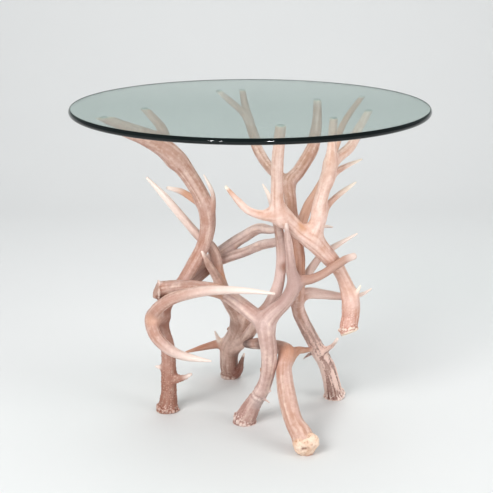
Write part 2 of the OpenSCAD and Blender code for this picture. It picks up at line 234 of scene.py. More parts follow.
SKY_LIGHT = 0.27
middle = (0, 0, 0.3)
panel("key_panel", (-1.6, -2.6, 2.3), middle, 1.8, 112)
panel("fill_panel", (2.6, -1.6, 1.4), middle, 1.8, 42)
panel("top_panel", (0.2, 0.6, 2.6), middle, 2.0, 32)
panel("glint_left", (-1.00, -2.50, 0.95), (-0.057, -0.3, 0.54), 0.09, 16.0, glint=True)
panel("glint_second", (-0.78, -2.58, 0.95), (-0.044, -0.3, 0.54), 0.09, 16.0, glint=True)
panel("glint_right", (0.53, -2.65, 0.95), (0.028, -0.3, 0.54), 0.14, 30.0, glint=True)
world = bpy.data.worlds.new("world")
world.use_nodes = True
sky = world.node_tree.nodes["Background"]
sky.inputs["Color"].default_value = (0.92, 0.95, 1.0, 1.0)
sky.inputs["Strength"].default_value = SKY_LIGHT
scene.world = world
scene.view_settings.view_transform = "Standard"

# %% [markdown]
# ## Steady randomness
#
# Antler is never even. Its lumps, grooves and pearls come from noise: a random number for every cell of a
# lattice, worked out by mixing the cell's whole numbers, so it is the same on every run.


# %% Noise
def cell_value(cells, salt):
    """A number from 0 to 1 for each row of three whole numbers, the same each time."""
    mixed = cells.astype(np.int64) * np.array([374761393, 668265263, 1440662683])
    mixed = (mixed.sum(axis=-1) + salt * 1274126177) & 0xFFFFFFFF
    mixed = ((mixed ^ (mixed >> 13)) * 1274126177) & 0xFFFFFFFF
    return ((mixed ^ (mixed >> 16)) & 0xFFFFFF) / 0xFFFFFF


def noise(places, salt):
    """Smooth noise from -1 to 1: cell values at whole numbers, eased between by 3t^2 - 2t^3 on each axis."""
    cells = np.floor(places).astype(np.int64)
    part = places - cells
    part = part * part * (3 - 2 * part)
    total = np.zeros(len(places))
    for corner in np.ndindex(2, 2, 2):
        weight = np.prod(np.where(corner, part, 1 - part), axis=-1)
        total += weight * cell_value(cells + np.array(corner), salt)
    return 2 * total - 1


def pearl_noise(places, salt):
    """Distance to the nearest of many scattered points, one in each cell of the lattice."""
    cells = np.floor(places).astype(np.int64)
    nearest = np.full(len(places), 9.0)
    for step in np.ndindex(3, 3, 3):
        cell = cells + np.array(step) - 1
        jitter = np.stack([cell_value(cell, salt + axis) for axis in range(3)], axis=-1)
        away = places - cell - (0.15 + 0.7 * jitter)
        nearest = np.minimum(nearest, np.sqrt((away * away).sum(axis=-1)))
    return nearest


# %% [markdown]
# ## Limbs
#
# A beam or a tine is a tube along a curved middle line that gets thinner to its tip. The line is a smooth
# curve through a few chosen points, each with the radius there. They are the points of the measured model,
# chosen for tips sawn at 533 mm, so the dressed antler lies where the solid one is.


# %% A limb and its tube
CHOSEN_H = 533.0
LINE_STEP = 3.0
TUBE_SIDES = 24
fit_height = np.array([1, 1, TIPS_Z / CHOSEN_H, 1])


def ring_walls(rows, sides):
    """Square faces between rings of points, numbered ring by ring, then the first ring and the last."""
    index = np.arange(rows * sides).reshape(rows, sides)
    right = np.roll(index, -1, axis=1)
    walls = np.stack([index[:-1], right[:-1], right[1:], index[1:]], axis=-1).reshape(-1, 4).tolist()
    return walls, index[0].tolist(), index[-1].tolist()


def capped_rings(rows, sides):
    """Faces of a stack of rings that ends in two single points: the root's, then the tip's."""
    walls, first, last = ring_walls(rows, sides)
    root_fan = [[rows * sides, first[(k + 1) % sides], first[k]] for k in range(sides)]
    tip_fan = [[rows * sides + 1, last[k], last[(k + 1) % sides]] for k in range(sides)]
    return walls + root_fan + tip_fan


class Limb:
    """A beam or tine: its smooth middle line, radii, and a frame of two side directions carried along it."""

    def __init__(self, polish, rows):
        self.polish = polish
        rows = np.array(rows, float) * fit_height
        padded = np.concatenate([rows[:1], rows, rows[-1:]])
        pieces = []
        for a, b, c, d in zip(padded, padded[1:], padded[2:], padded[3:]):
            count = max(1, round(float(np.linalg.norm((c - b)[:3])) / LINE_STEP))
            t = np.arange(count)[:, None] / count
            pieces.append(0.5 * (2 * b + (c - a) * t + (2 * a - 5 * b + 4 * c - d) * t ** 2
                                 + (3 * b - a - 3 * c + d) * t ** 3))
        line = np.concatenate(pieces + [rows[-1:]])
        self.middle, self.radius = line[:, :3], line[:, 3]
        steps = np.linalg.norm(np.diff(self.middle, axis=0), axis=1)
        self.along = np.concatenate([[0], np.cumsum(steps)])
        heading = np.gradient(self.middle, axis=0)
        self.heading = heading / np.linalg.norm(heading, axis=1)[:, None]
        side = np.array([1.0, 0, 0] if abs(self.heading[0, 2]) > 0.8 else [0, 0, 1.0])
        sides = []
        for way in self.heading:
            side = side - (side @ way) * way
            side = side / np.linalg.norm(side)
            sides.append(side)
        self.side = np.array(sides)
        self.across = np.cross(self.heading, self.side)

    def tube(self):
        """Rings round the middle line, point = middle + r (cos a side + sin a across), with a round tip."""
        turn = np.linspace(0, math.pi / 2, 5)[1:-1]
        tip_r = self.radius[-1]
        dome = self.middle[-1] + np.outer(np.sin(turn), self.heading[-1]) * tip_r
        middle = np.concatenate([self.middle, dome])
        radius = np.concatenate([self.radius, tip_r * np.cos(turn)])
        side, over, heading = (np.concatenate([ways, np.tile(ways[-1], (len(turn), 1))])
                               for ways in (self.side, self.across, self.heading))
        angle = (np.arange(TUBE_SIDES) * 2 * math.pi / TUBE_SIDES)[None, :, None]
        rings = middle[:, None] + radius[:, None, None] * (
            np.cos(angle) * side[:, None] + np.sin(angle) * over[:, None])
        for level, outside in ((TIPS_Z, 1), (0.0, -1)):
            past = (rings[..., 2] - level) * outside
            slope = heading[:, None, 2]
            back = np.where((past > 0) & (np.abs(slope) > 0.15), (rings[..., 2] - level) / slope, 0)
            rings = rings - back[..., None] * heading[:, None]
        rings[..., 2] = np.clip(rings[..., 2], 0, TIPS_Z)
        root = rings[0].mean(axis=0)
        tip = rings[-1].mean(axis=0) + self.heading[-1] * tip_r * 0.1
        tip[2] = min(max(tip[2], 0), TIPS_Z)
        points = np.concatenate([rings.reshape(-1, 3), [root], [tip]])
        return points, capped_rings(len(rings), TUBE_SIDES)

    def near(self, points):
        """For each point: gap to the tube's surface, length along, angle round, radius and way outward."""
        middle = self.middle
        closest = ((middle ** 2).sum(axis=1) - 2 * points @ middle.T).argmin(axis=1)

        def from_piece(start):
            a, b = middle[start], middle[start + 1]
            t = np.clip(((points - a) * (b - a)).sum(axis=1) / ((b - a) ** 2).sum(axis=1), 0, 1)
            away = points - a - t[:, None] * (b - a)
            return np.linalg.norm(away, axis=1), t, away

        before, after = np.clip([closest - 1, closest], 0, len(middle) - 2)
        start = np.where(from_piece(after)[0] < from_piece(before)[0], after, before)
        far, t, away = from_piece(start)

        def between(values):
            share = t[:, None] if values.ndim == 2 else t
            return values[start] * (1 - share) + values[start + 1] * share

        radius = between(self.radius)
        angle = np.arctan2((away * between(self.across)).sum(axis=1), (away * between(self.side)).sum(axis=1))
        return far - radius, between(self.along), angle, radius, away / np.maximum(far, 1e-6)[:, None]


# %% [markdown]
# ## One skin over many limbs
#
# The tubes of an antler run into each other. A voxel remesh turns them into one closed skin. Real antler has
# webs in its forks, so the skin is then pulled onto a soft union: with gaps f1, f2 and so on to the tubes,
# the value -k log(sum of exp(-f/k)) is a gap to a shape whose forks are rounded over a width of about k.


# %% Skin of an antler
VOXEL = 1.25
FAR_GAP = 60.0
FAR_RADIUS = 8.0
LIMB_REACH = 24.0
SOFT_OVER = 4.0


def joined_mesh(name, parts):
    """One mesh from several lists of points in millimetres and faces."""
    points, faces, count = [], [], 0
    for part_points, part_faces in parts:
        points.append(part_points)
        faces += [[i + count for i in face] for face in part_faces]
        count += len(part_points)
    mesh = bpy.data.meshes.new(name)
    mesh.from_pydata((np.concatenate(points) * MM).tolist(), [], faces)
    return mesh


def remeshed(mesh):
    """The outer skin of a mesh whose parts overlap, as even small squares."""
    holder = add_object("remesh_holder", mesh)
    modifier = holder.modifiers.new("skin", "REMESH")
    modifier.mode = "VOXEL"
    modifier.voxel_size = VOXEL * MM
    graph = bpy.context.evaluated_depsgraph_get()
    skin = bpy.data.meshes.new_from_object(holder.evaluated_get(graph))
    bpy.data.objects.remove(holder)
    return skin


def read(items, key, wide=3, kind=float):
    """One row of `wide` numbers for each item, such as the place of each corner of a mesh."""
    flat = np.zeros(len(items) * wide, kind)
    items.foreach_get(key, flat)
    return flat.reshape(-1, wide)


def write_points(mesh, points):
    mesh.vertices.foreach_set("co", (points * MM).ravel())
    mesh.update()


def neighbour_mean(values, edges):
    """Mean of each point's neighbours along the edges."""
    size = len(values)
    count = np.bincount(edges.ravel(), minlength=size).clip(1)
    one, other = edges.T
    return np.stack([(np.bincount(one, part[other], size) + np.bincount(other, part[one], size)) / count
                     for part in values.T], axis=1)


class Reading:
    """What the skin needs to know at each point: gaps, shares and places on every limb."""

    def __init__(self, points, limbs, web):
        count = len(points)
        self.gap = np.full((len(limbs), count), FAR_GAP)
        self.along = np.zeros((len(limbs), count))
        self.angle = np.zeros((len(limbs), count))
        self.radius = np.full((len(limbs), count), FAR_RADIUS)
        away = np.zeros((len(limbs), count, 3))
        for row, limb in enumerate(limbs):
            reach = limb.radius.max() + LIMB_REACH
            low, high = limb.middle.min(axis=0) - reach, limb.middle.max(axis=0) + reach
            close = ((points > low) & (points < high)).all(axis=1)
            found = limb.near(points[close])
            self.gap[row, close], self.along[row, close], self.angle[row, close] = found[:3]
            self.radius[row, close], away[row, close] = found[3:]
        least = self.gap.min(axis=0)
        broad = np.exp(-(self.gap - least) / SOFT_OVER)
        soft = web * (broad * np.minimum(self.radius, 14)).sum(axis=0) / broad.sum(axis=0)
        share = np.exp(-(self.gap - least) / soft)
        total = share.sum(axis=0)
        self.share = share / total
        self.union = least - soft * np.log(total)
        self.out = np.einsum("lp,lpa->pa", self.share, away)
        self.second = np.sort(self.share, axis=0)[-2] if len(limbs) > 1 else np.zeros(count)


# %% [markdown]
# ## Burrs
#
# A shed antler ends in a burr, a crown of bony beads where it grew from the skull. Each bead is an egg set
# round the end of the beam, a little out of line and of its own size, and a second row of smaller beads runs
# into the pearls above. They join the tubes before the remesh, so they grow out of the beam.


# %% Beads
def bead(place, axes, sizes, rings=7, sides=10):
    """An egg: a ball's grid of points, stretched by sizes along three axes."""
    up = np.linspace(-math.pi / 2, math.pi / 2, rings + 2)[1:-1]
    turn = np.arange(sides) * 2 * math.pi / sides
    wide, high = np.cos(up), np.outer(np.sin(up), np.ones(sides))
    ball = np.stack([np.outer(wide, np.cos(turn)), np.outer(wide, np.sin(turn)), high], axis=-1)
    ball = np.concatenate([ball.reshape(-1, 3), [[0, 0, -1], [0, 0, 1]]])
    points = place + (ball * sizes) @ axes
    points[:, 2] = np.maximum(points[:, 2], 0)
    return points, capped_rings(rings, sides)


def crown(limb, at, out, seed, count=13, shares=(1.0, 0.55), long=4.2, uneven=0.2):
    """Beads of a burr round the limb at length `at` from its root, standing out by about `out`."""
    random = np.random.default_rng(seed)
    place = int(np.searchsorted(limb.along, at))
    beads = []
    for row, share in enumerate(shares):
        for k in range(count):
            angle = (k + 0.5 * row + random.uniform(-0.22, 0.22)) * 2 * math.pi / count
            outward = math.cos(angle) * limb.side[place] + math.sin(angle) * limb.across[place]
            around = np.cross(limb.heading[place], outward)
            size = random.uniform(1 - uneven, 1 + uneven) * share
            wide = 1.15 * math.pi * limb.radius[place] / count * size
            centre = (limb.middle[place] + limb.heading[place] * (row * 6.0 + random.uniform(-1.0, 1.0))
                      + outward * (limb.radius[place] - 1.0 * row + 0.2 * out * (1 - row)))
            axes = np.stack([outward, around, limb.heading[place]])
            beads.append(bead(centre, axes, np.array([out * size, wide, long * size])))
    return beads


# %% [markdown]
# ## The grain of antler
#
# Blood vessels in the velvet leave grooves along a beam, and bony pearls crowd round its foot. The deer rubs
# the ridges and tips pale, and the dye of bark stays in the grooves. The shape of all this is moved into the
# mesh, and what was moved is kept as attributes, so the finish can put its browns and creams there.


# %% Grain
FLOOR_FLAT = 0.7
SAWN_FLAT = 0.9
PULL_MOST = 2.5
PULL_PASSES = 3
FORK_PASSES = 3
KNOB_PASSES = 12
BLUR_PASSES = 10
TIP_SMOOTH = 0.85
THICKEST = 20


def far_from(points, place):
    return np.linalg.norm(points - np.array(place), axis=1)


def away_from(points, balls):
    """Distance from each point to the nearest of some balls, each (x, y, z, radius), less than 0 inside."""
    least = np.full(len(points), FAR_GAP)
    for *centre, radius in balls:
        least = np.minimum(least, far_from(points, centre) - radius)
    return least


def ease(low, high, values):
    """0 below low, 1 above high and a smooth step between."""
    t = np.clip((values - low) / (high - low), 0, 1)
    return t * t * (3 - 2 * t)


def grain(reading, wide, long, salt, sharp=None):
    """Noise stretched along every limb, `wide` millimetres across the grain and `long` with it.

    With sharp it makes grooves, exp(-(noise / sharp)^2): valleys where the noise crosses zero.
    """
    total = np.zeros(reading.share.shape[1])
    for row, shares in enumerate(reading.share):
        place = np.nonzero(shares > 0.02)[0]
        radius = np.minimum(reading.radius[row, place], THICKEST)
        angle = reading.angle[row, place]
        lines = noise(np.stack([radius * np.cos(angle) / wide, radius * np.sin(angle) / wide,
                                reading.along[row, place] / long + 7.3 * row], axis=1), salt)
        if sharp:
            lines = np.exp(-(lines / sharp) ** 2)
        total[place] += shares[place] * lines
    return total


def relaxed(points, edges, weight):
    """Points moved toward the mean of their neighbours, by half of the way where weight is 1."""
    return points + 0.5 * weight[:, None] * (neighbour_mean(points, edges) - points)


def formed(points, edges, limbs, web, loose, knob_gap):
    """Loose points pulled onto the soft union of the limbs, then smoothed in the forks and on knobs."""
    for _ in range(PULL_PASSES):
        reading = Reading(points, limbs, web)
        root = (reading.along[0] < 1.0) & (reading.share[0] > 0.5)
        steep = np.maximum((reading.out ** 2).sum(axis=1), 0.25)
        pull = np.clip(reading.union, -PULL_MOST, PULL_MOST) / steep * loose * ~root
        points = points - pull[:, None] * reading.out
    for _ in range(FORK_PASSES):
        points = relaxed(points, edges, ease(0.02, 0.2, reading.second) * loose)
    for _ in range(KNOB_PASSES):
        points = relaxed(points, edges, 1 - ease(2, 7, knob_gap))
    return points


def relief(points, reading, limbs, look, knob_gap, seed):
    """Height of the grain over each point, and what of it the finish needs to know."""
    from_foot = far_from(points, limbs[0].middle[0])
    foot = 1 - ease(0.25, 1.0, from_foot / look["foot_reach"])
    left = np.stack([limb.along[-1] - reading.along[row] for row, limb in enumerate(limbs)])
    polish = np.array([limb.polish for limb in limbs])[:, None]
    near_end = np.where(polish > 0, 1 - ease(0.1, 1.0, left / np.maximum(polish, 1)), 0)
    tip = (reading.share * near_end).sum(axis=0)
    rough = 1 - TIP_SMOOTH * tip
    fine = grain(reading, 3.4, 55, seed, 0.26)
    broad = grain(reading, 8.0, 120, seed + 5, 0.34)
    streak = grain(reading, 3.2, 40, seed + 12) * rough
    furrow = grain(reading, 9, 60, seed + 9, 0.42)
    flake = grain(reading, 3.0, 20, seed + 10)
    bark = ease(0.25, 0.95, 0.8 * furrow + 0.5 * flake + 0.3 * noise(points / 2.6, seed + 11))
    bark = bark * (1 - ease(0.35, 1.0, from_foot / max(look["bark_reach"], 1)))
    warped = points / 4.3 + 0.35 * noise(points / 9, seed + 2)[:, None]
    pearl = np.clip(1 - (pearl_noise(warped, seed + 3) / 0.46) ** 2, 0, 1)
    scatter = ease(-0.1, 0.5, noise(points / 17, seed + 4))
    pearl = pearl * np.clip(foot * 1.25 + 0.22 * scatter * (1 - tip), 0, 1)
    pearl = pearl * (0.3 + 0.7 * ease(-0.35, 0.35, noise(points / 7, seed + 13)))
    lump = noise(points / 32, seed + 6) + 0.5 * noise(points / 13, seed + 7)
    height = (0.045 * np.minimum(reading.radius.min(axis=0) + 4, 14) * lump * rough
              - 0.6 * look["groove"] * fine * rough
              - 1.5 * look["groove"] * broad * rough
              - look["bark"] * bark
              + look["pearl"] * pearl
              + 0.08 * noise(points / 2.4, seed + 8) * rough)
    knob = 1 - ease(-0.5, 2.5, knob_gap)
    height += knob * (1.5 * noise(points / 6.0, seed + 14) + 0.7 * noise(points / 2.6, seed + 15))
    pit = np.zeros(len(points))
    for place, reach, depth in look["pits"]:
        dip = np.exp(-(far_from(points, place) / reach) ** 2)
        height -= depth * dip
        pit = np.maximum(pit, dip * min(1, depth / 2))
    groove = np.clip(0.35 * fine + 0.65 * broad, 0, 1) * rough
    marks = dict(groove=groove, streak=streak, pit=pit, knob=knob, bark=bark, pearl=pearl, foot=foot,
                 tip=np.clip(tip, 0, 1))
    return height, marks


def hollows(points, normals, edges):
    """How deep each point lies in a crevice, or with a minus sign how far it stands out on a ridge."""
    near = ((neighbour_mean(points, edges) - points) * normals).sum(axis=1)
    blurred = points
    for _ in range(BLUR_PASSES):
        blurred = neighbour_mean(blurred, edges)
    wide = ((blurred - points) * normals).sum(axis=1)
    return np.clip(near * 5.0, -1, 1) * 0.6 + np.clip(wide * 1.4, -1, 1) * 0.7


def make_skin(name, limbs, beads, look, seed):
    """The closed skin of one antler with its grain, ready for its finish."""
    skin = remeshed(joined_mesh(name, [limb.tube() for limb in limbs] + beads))
    skin.name = name
    points = read(skin.vertices, "co") / MM
    edges = read(skin.edges, "vertices", 2, int)
    bead_balls = [(*part[0].mean(axis=0), 0) for part in beads[:len(beads) - len(look["knobs"])]]
    knob_gap = away_from(points, look["knobs"])
    rounded = (points[:, 2] >= FLOOR_FLAT) & (points[:, 2] <= TIPS_Z - SAWN_FLAT)
    loose = ease(5.5, 9.0, away_from(points, bead_balls)) * ease(-0.5, 3.0, knob_gap) * rounded
    points = formed(points, edges, limbs, look["web"], loose, knob_gap)
    write_points(skin, points)
    reading = Reading(points, limbs, look["web"])
    height, marks = relief(points, reading, limbs, look, knob_gap, seed)
    points = points + (height * rounded)[:, None] * read(skin.vertices, "normal")
    points[:, 2] = np.clip(points[:, 2], 0, TIPS_Z)
    write_points(skin, points)

    # How deep each point lies in a hollow, which the finish paints darker as shade.
    crevice = hollows(points, read(skin.vertices, "normal"), edges)
    cut = (points[:, 2] > TIPS_Z - 0.6) | ((reading.along[0] < 1.2) & (reading.share[0] > 0.5))
    marks.update(crevice=np.clip(crevice, 0, 1), ridge=np.clip(-crevice, 0, 1), cut=cut * 1.0,
                 crown=1 - ease(3.0, 7.0, away_from(points, bead_balls)))
    # Washes: some tint the antler, others are painted shade or painted light, round a place or along a limb.
    for number, (where, reach, _) in enumerate(look["tints"]):
        if isinstance(where, int):
            wash = reading.share[where] * ease(0, reach, reading.along[where])
        else:
            wash = 1 - ease(0.15, 1.0, far_from(points, where) / reach)
        marks[f"tint_{number}"] = wash * (1 - 0.8 * marks["tip"])
    for key, values in marks.items():
        attribute = skin.attributes.new(key, "FLOAT", "POINT")
        attribute.data.foreach_set("value", values.astype(np.float32))
    skin.shade_smooth()
    return skin


# %% [markdown]
# ## The finish of antler
#
# Each antler has its own body colour, from peach to grey-pink, darker at the foot and brown in the grooves.
# The ridges are rubbed lighter, the tips are polished to cream, and the rim of a burr is pale where it wears.
# A wash is one more colour, round a place or along a whole tine. Some are tints of the antler,
# and some are painted shade or painted light where a part lies in shade or in light.
# Hollows, forks and pits are painted darker as shade.


# %% Antler finish
HUES = ("body", "mottle", "foot_hue", "brown", "dark", "pale", "cream", "bone", "cut")
MARKS = ("groove", "streak", "pit", "knob", "bark", "pearl",
         "foot", "tip", "crevice", "ridge", "crown", "cut")


def antler_finish(name, look):
    """Body colour; foot, grooves, tints and painted shading, crevice shade, ridges, tips, cut ends laid on in
    turn.
    """
    tree = Tree(name)
    hue = {key: tone(*look[key]) for key in HUES}
    marks = map(tree.attribute, MARKS)
    groove, streak, pit, knob, bark, pearl, foot, tip, crevice, ridge, rim, cut = marks
    cloud = tree.noise(38, 3.0, 0.6)
    blotch = tree.noise(130, 3.0, 0.6) - 0.5
    speck = tree.noise(420, 2.0, 0.6)
    uneven = streak * look["streak"] + blotch * 1.5
    bone = tree.mix(tree.noise(90, 3.0, 0.6) * 3.0 - 1.2, hue["cream"], hue["bone"])
    # Painted shade: the knob's hollows are darkened by how deep they lie.
    bone = tree.mix(crevice * 0.7, bone, hue["brown"])
    layers = [
        ((cloud - 0.5) * 2.4 + 0.5, hue["mottle"]),
        (foot * look["foot_share"], hue["foot_hue"]),
        (groove * (cloud + 0.35) * look["stain"], hue["brown"]),
        (uneven, hue["pale"]),
        (uneven * -0.9, hue["brown"]),
    ]
    # Tints, painted shade and painted light, one wash each.
    for number, (_, _, wash_hue) in enumerate(look["tints"]):
        layers.append((tree.attribute(f"tint_{number}") * (cloud * 0.7 + 0.5), tone(*wash_hue)))
    layers += [
        (foot * (1 - pearl) * look["between"], hue["dark"]),
        (bark * (cloud + 0.2), hue["dark"]),
        # Painted shade: hollows and forks are darkened by how deep they lie.
        (crevice * 0.5, hue["dark"]),
        (ridge * (look["rub"] - foot * 0.06), hue["pale"]),
        (((speck - 0.55) * 1.2).clamped() * (1 - tip), hue["brown"]),
        (tip * look["tip_share"], hue["cream"]),
        (rim * ridge * look["crown_share"], hue["cream"]),
        (cut * 0.8, hue["cut"]),
        (knob * 0.95, bone),
        # Painted shade in the pits and crease of the knob.
        (pit * 1.1, hue["dark"]),
    ]
    colour = hue["body"]
    for share, paint in layers:
        colour = tree.mix(share, colour, paint)
    rough = (0.52 + foot * 0.16 - tip * 0.16 + (cloud - 0.5) * 0.18).clamped()
    pits = tree.noise(900, 2.0, 0.6) * 0.6 + tree.noise(260, 3.0, 0.55) * 0.6
    bump = tree.node("ShaderNodeBump", None, Strength=0.35, Distance=0.0006, Height=pits)
    return tree.principled(Base_Color=colour, Roughness=rough, Normal=bump)


LOOK = dict(
    web=0.26, groove=0.34, bark=0.0, bark_reach=0, pearl=0.95, foot_reach=90, crown_count=14,
    body=(216, 180, 160), mottle=(204, 162, 140), foot_hue=(196, 144, 120), brown=(164, 114, 88),
    dark=(112, 68, 50), pale=(240, 216, 200), cream=(247, 230, 220), bone=(232, 198, 164),
    cut=(240, 216, 190), foot_share=0.8, stain=0.75, tip_share=0.9, crown_share=0.7, between=0.0,
    rub=0.14, streak=0.6, knobs=(), pits=(), tints=(), rings=(),
)


def make_antler(name, limbs, seed, burr_out=4.0, burr_at=8.0, **changes):
    """Builds one antler from its limbs, each (length of polished tip, points), in place of its solid."""
    look = {**LOOK, **changes}
    made = [Limb(polish, rows) for polish, rows in limbs]
    beads = crown(made[0], burr_at, burr_out, seed, look["crown_count"])
    for at, out, count in look["rings"]:
        beads += crown(made[0], at, out, seed + 1, count, shares=(1.0,), long=2.2, uneven=0.4)
    beads += [bead(np.array(centre), np.eye(3), radius, 17, 28) for *centre, radius in look["knobs"]]
    skin = make_skin(name + "_skin", made, beads, look, seed)
    antler = add_object(name + "_skin", skin, antler_finish(name.replace("_antler", "_finish"), look))
    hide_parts(name)
    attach(antler, "antler_base")
    print(f"{name}: {len(made)} limbs, {len(skin.vertices)} points")


# %% [markdown]
# ## Left leg antler
#
# It stands on its burr at the left, bends to the right and sweeps back left to hold the glass with two tines.
# A big fork near half height sends two polished prongs forward. The foot is red-brown and thick with pearls.

# %% Left leg
make_antler("left_leg_antler", [
    (30, [[-152, -36, -8, 18], [-147, -34, 5, 17.4], [-144, -36, 40, 14], [-143, -38, 80, 13.3],
           [-144, -41, 120, 12.6], [-153, -44, 168, 12.3], [-145, -48, 206, 12.2], [-116, -50, 246, 12],
           [-95, -48, 281, 12], [-80, -46, 310, 11.8], [-72, -45, 341, 13.4], [-74.5, -45, 374, 13.2],
           [-83.5, -46, 400, 13.6], [-104, -50, 436, 14.6], [-124, -56, 464, 16.4], [-148, -67, 486, 15],
           [-181, -86, 506, 10.5], [-214, -100, 522, 8.4], [-256, -116, 544, 6.5]]),
    (20, [[-125, -58, 462, 14], [-139, -54, 482, 11], [-147, -44, 504, 8.8], [-163, -32, 521, 7.2],
          [-190, -16, 545, 5.6]]),
    (40, [[-76, -44, 382, 11], [-99, -28, 390, 7], [-118, -16, 398, 5.4], [-141, -6, 402, 3]]),
    (60, [[-69, -46, 356, 8], [-62.5, -52, 378, 5], [-62, -55, 400, 4], [-68, -57, 418, 3.2],
          [-77, -58, 436, 1.4]]),
    (25, [[-142, -38, 62, 10], [-129, -45, 65, 8], [-116, -54, 71, 5], [-103, -62, 81, 2.4]]),
    (12, [[-146, -38, 82, 8], [-158, -42, 86, 4], [-165, -44, 88, 2]]),
    (0, [[-152, -48, 182, 13], [-156, -57, 188, 13.6], [-161, -70, 192, 13.4]]),
    (190, [[-156, -62, 190, 13], [-162, -78, 196, 12.8], [-154, -92, 214, 11.2], [-127, -102, 235, 10.4],
           [-84, -109, 248, 9], [-42, -113, 252, 7.3], [0, -118, 252, 5.2], [40, -123, 249, 2]]),
    (110, [[-157, -62, 192, 13], [-168, -80, 187, 12.6], [-162, -95, 167, 11.4], [-146, -103, 150, 10.3],
           [-124, -106, 136, 8.4], [-95, -105, 127, 5.8], [-67, -102, 121, 1.8]]),
], seed=11, burr_out=3.2, burr_at=13.0, crown_count=16, foot_reach=190, pearl=1.5, between=0.55,
    body=(211, 177, 167), mottle=(196, 156, 142), foot_hue=(204, 153, 134), brown=(166, 112, 88),
    dark=(120, 66, 46), crown_share=0.35, rub=0.1, streak=0.42,
    # Painted shade: the first wash darkens the beam where it lies in shade behind the prongs, the second the
    # back tine.
    tints=[((-150, -46, 186), 48, (140, 82, 58)), (2, 12, (202, 148, 118)),
           ((-166, -86, 190), 20, (210, 162, 136))])

# %% [markdown]
# ## Centre leg antler
#
# The middle foot leans to the right and carries a swollen bend, where the left cross antler is let in behind.
# Two small thorns stand on its foot, and its fork sends a short prong over the right high antler.

# %% Centre leg
make_antler("centre_leg_antler", [
    (12, [[-12, -82, -8, 20], [-9, -84, 5, 19], [5, -90, 36, 15], [18.5, -96, 60, 12.8],
          [27.5, -102, 86, 12.4], [32, -107, 116, 13.3], [31.5, -109, 145, 14.5], [28, -110, 172, 15.4],
          [28, -107, 195, 16.6], [41, -109.5, 213, 14.2], [58, -110, 230, 12.4], [70, -109, 250, 12],
          [73, -110, 268, 11], [68, -114, 288, 9.2], [66, -120, 308, 8.3], [63, -127, 334, 7],
          [60.4, -133, 354, 5], [58.6, -136.5, 372, 3]]),
    (20, [[76, -106, 260, 11], [88, -104, 266, 9.8], [103, -102, 268, 8.8], [121, -101, 276, 8.2],
          [142, -99, 290, 8], [159, -95, 300, 7], [173, -90, 304, 6]]),
    (10, [[12, -98, 55, 9], [25, -105, 51.5, 2.8], [33, -107, 47, 1.3]]),
    (10, [[18, -99, 63, 9], [30, -105, 66, 2.8], [36, -107, 68, 1.2]]),
    (0, [[28, -110, 188, 12], [16, -99, 196, 13], [0, -88, 205, 13.2], [-18, -81, 217.5, 13],
         [-40, -77, 232, 12.2], [-58, -75, 239, 10]]),
], seed=23, burr_out=3.0, burr_at=12.0, crown_count=16, foot_reach=88, pearl=1.0, between=0.35,
    body=(222, 194, 187), mottle=(204, 170, 160), foot_hue=(212, 170, 160), brown=(170, 130, 118),
    dark=(130, 88, 76), tip_share=0.5, rings=[(70, 0.7, 15)], crown_share=0.6,
    tints=[((18, -104, 44), 22, (190, 172, 168)), ((62, -112, 262), 90, (176, 142, 134)),
           (1, 20, (176, 134, 116))])

# %% [markdown]
# ## Front leg antler
#
# It lies on the lower edge of its burr, whose bony seal faces the viewer as a cream knob with a dark pit. Its
# fork is hidden low behind the centre leg and props the back leg and the right leg.

# %% Front leg
make_antler("front_leg_antler", [
    (30, [[95, -219, 13, 8], [92, -212, 13.2, 19], [85, -197, 28, 18.4], [73.5, -181, 43, 15.8],
          [65, -159, 66, 15.6], [59.5, -134, 90, 14.8], [58, -108, 111, 13.8], [63, -88, 128, 14.8],
          [56, -72, 133, 12.6], [38, -52, 131, 10.8], [18, -18, 121, 10.2], [0, 30, 103, 9.5],
          [-7, 62, 92, 8], [-10, 74, 90, 4]]),
    (20, [[64, -90, 122, 12], [73, -78, 125, 10.6], [84, -62, 125, 7.4], [97, -42, 118, 5.4],
          [108, -24, 113, 3.8]]),
], seed=31, crown_count=0, foot_reach=60, pearl=0.3, body=(224, 192, 182), mottle=(208, 166, 150),
    foot_hue=(206, 160, 138), foot_share=0.5, brown=(184, 134, 110), dark=(108, 62, 42),
    cream=(248, 222, 200), bone=(222, 176, 142), tip_share=0,
    knobs=[(86, -212, 16, 15.8), (101.5, -212, 24, 13.4), (96, -214, 18, 13.6)],
    # The pits are hollowed into the knob, and the finish paints them dark as shade.
    pits=[((86, -227, 17), 3.2, 1.7), ((90, -227, 17), 3.0, 1.3), ((95, -227, 18), 3.6, 0.8),
          ((101, -225, 20), 3.8, 0.6), ((91, -227, 17), 9.0, 0.5)],
    # Painted shade: orange-brown on the fork and its right tine, dark red-brown on the branch behind the
    # centre leg.
    tints=[((66, -92, 134), 29, (192, 138, 110)), (1, 4, (186, 130, 100)),
           ((30, -40, 128), 50, (78, 48, 42)), ((0, 30, 106), 56, (78, 48, 42))])

# %% [markdown]
# ## Right leg antler
#
# The largest antler leans in from the right foot. Its lower beam has deep bark-like grooves, dark brown
# between cream ridges. Higher up, three groups of tines reach the glass.

